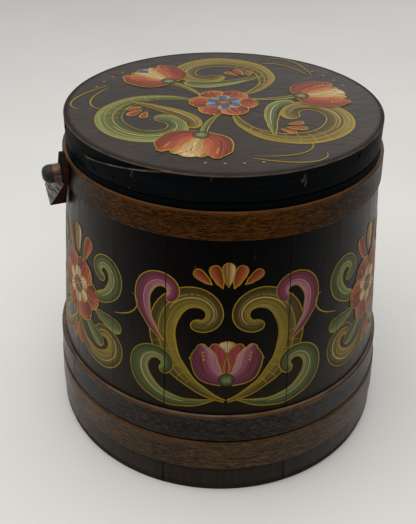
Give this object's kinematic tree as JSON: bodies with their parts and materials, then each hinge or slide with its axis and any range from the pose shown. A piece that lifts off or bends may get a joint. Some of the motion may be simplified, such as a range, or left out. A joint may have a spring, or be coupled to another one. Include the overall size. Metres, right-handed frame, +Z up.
{
  "type": "lidded wooden bucket",
  "caption": "Tapered staved wooden bucket with bentwood hoops, a lift-off lid in a lapped rim, and the ends of a lost handle on wooden pegs; dark paint with folk scrollwork.",
  "frame": {"origin": "centre of the foot, on the floor", "axes": "+Z up along the bucket's axis; the two pegs lie along X, and the front is -Y"},
  "size_m": [0.3004, 0.3014, 0.285],
  "materials": {
    "stave_paint": "satin",
    "bottom_wood": "matte",
    "amber_hoop": "satin",
    "dark_hoop": "satin",
    "brown_hoop": "satin",
    "lid_paint": "satin",
    "rim_paint": "satin",
    "handle_wood": "matte",
    "peg_wood": "satin",
    "tack_iron": "matte"
  },
  "bodies": {
    "bucket": {"stave_01": "stave_paint", "stave_02": "stave_paint", "stave_03": "stave_paint", "stave_04": "stave_paint", "stave_05": "stave_paint", "stave_06": "stave_paint", "stave_07": "stave_paint", "stave_08": "stave_paint", "stave_09": "stave_paint", "stave_10": "stave_paint", "stave_11": "stave_paint", "stave_12": "stave_paint", "stave_13": "stave_paint", "stave_14": "stave_paint", "stave_15": "stave_paint", "stave_16": "stave_paint", "stave_17": "stave_paint", "stave_18": "stave_paint", "bottom_board_left": "bottom_wood", "bottom_board_middle": "bottom_wood", "bottom_board_right": "bottom_wood", "top_hoop": "amber_hoop", "middle_hoop": "dark_hoop", "bottom_hoop": "brown_hoop", "top_hoop_tacks": "tack_iron", "middle_hoop_tacks": "tack_iron", "bottom_hoop_tacks": "tack_iron", "peg_left": "peg_wood", "peg_right": "peg_wood"},
    "lid": {"lid_board_left": "lid_paint", "lid_board_right": "lid_paint", "lid_rim": "rim_paint", "lid_rim_nails": "tack_iron"},
    "handle_end_left": {"handle_end_left": "handle_wood"},
    "handle_end_right": {"handle_end_right": "handle_wood"}
  },
  "joints": [
    {"name": "lid_lift", "type": "slide", "parent": "bucket", "child": "lid", "axis": [0, 0, 1], "range_m": [0, 0.15]},
    {"name": "handle_end_left_turn", "type": "hinge", "parent": "bucket", "child": "handle_end_left", "pos_m": [0, 0, 0.2468], "axis": [1, 0, 0], "range_deg": [0, 146]},
    {"name": "handle_end_right_turn", "type": "hinge", "parent": "bucket", "child": "handle_end_right", "pos_m": [0, 0, 0.2468], "axis": [1, 0, 0], "range_deg": [0, 146]}
  ]
}
